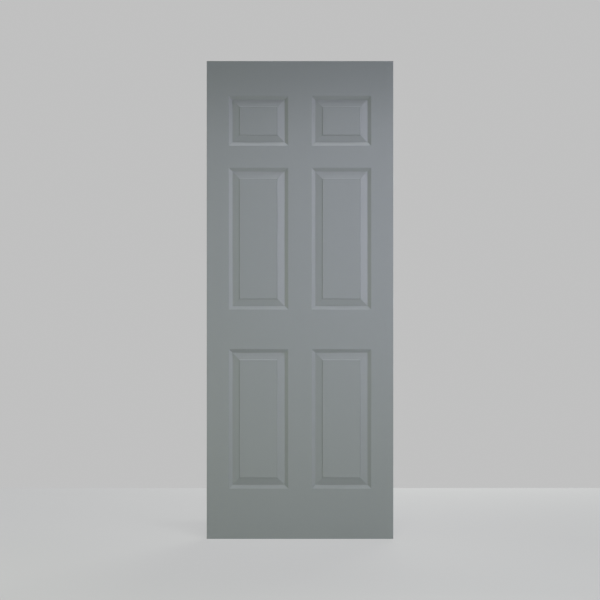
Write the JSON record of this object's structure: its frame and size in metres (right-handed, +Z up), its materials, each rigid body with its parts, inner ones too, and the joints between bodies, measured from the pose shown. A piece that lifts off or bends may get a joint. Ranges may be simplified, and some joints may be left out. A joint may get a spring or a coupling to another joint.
{
  "type": "panelled front door leaf",
  "caption": "Blank front door leaf with pressed steel faces in a raised-panel pattern, folded over a timber frame with an insulating foam core, to be hung on side hinges.",
  "frame": {"origin": "middle of the bottom edge, halfway across the width and the thickness", "axes": "+Z up, +X along the width to the right of someone who faces the outer side, +Y through the leaf from its outer to its inner face"},
  "size_m": [0.82, 0.044, 2.1],
  "materials": {
    "painted_steel": "smooth satin grey paint on pressed sheet",
    "timber": "planed softwood, finger-jointed, left bare",
    "composite": "matt wood and plastic composite",
    "foam": "rigid polyurethane foam",
    "staple_wire": "galvanised flat wire"
  },
  "bodies": {
    "root": {"outer_skin": "painted_steel", "inner_skin": "painted_steel", "left_stile": "timber", "right_stile": "timber", "top_rail": "timber", "bottom_rail": "composite", "left_lock_block": "timber", "right_lock_block": "timber", "foam_core": "foam", "staple_top_left_outer": "staple_wire", "staple_top_left_inner": "staple_wire", "staple_top_right_outer": "staple_wire", "staple_top_right_inner": "staple_wire", "staple_bottom_left_outer": "staple_wire", "staple_bottom_left_inner": "staple_wire", "staple_bottom_right_outer": "staple_wire", "staple_bottom_right_inner": "staple_wire"}
  },
  "joints": []
}
